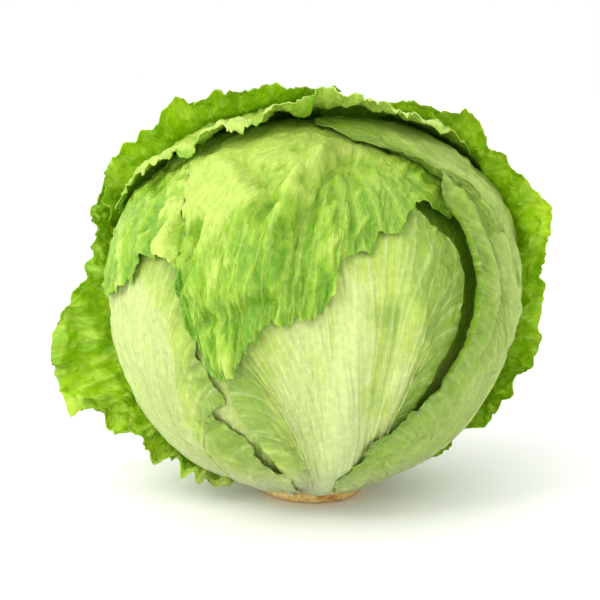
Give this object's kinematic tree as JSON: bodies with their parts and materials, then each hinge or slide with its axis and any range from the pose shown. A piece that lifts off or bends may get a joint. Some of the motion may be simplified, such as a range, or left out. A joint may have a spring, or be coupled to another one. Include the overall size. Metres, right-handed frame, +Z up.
{
  "type": "head of lettuce",
  "caption": "Round crisphead lettuce standing on its trimmed stem, with cupped leaves wrapped over a tight heart and frilled outer leaves.",
  "frame": {"origin": "centre of the stem's flat cut face, which rests on the floor", "axes": "+Z up out of the cut face through the crown, -Y towards the front leaf, +X to the right of the front"},
  "size_m": [0.1943, 0.1748, 0.1646],
  "materials": {
    "cut_stem": "moist cut fibre, browned by air",
    "heart_leaf": "satin",
    "pale_leaf": "satin, slightly waxy",
    "green_leaf": "satin, slightly waxy",
    "wrapper_leaf": "satin, slightly waxy",
    "outer_leaf": "satin, slightly waxy"
  },
  "bodies": {
    "root": {"stem": "cut_stem", "heart": "heart_leaf", "inner_leaf": "pale_leaf", "front_leaf": "pale_leaf", "left_leaf": "pale_leaf", "cap_leaf": "green_leaf", "right_leaf": "wrapper_leaf", "crown_leaf": "green_leaf", "right_outer_leaf": "outer_leaf", "back_left_leaf": "outer_leaf", "left_outer_leaf": "outer_leaf", "back_leaf": "outer_leaf"}
  },
  "joints": []
}
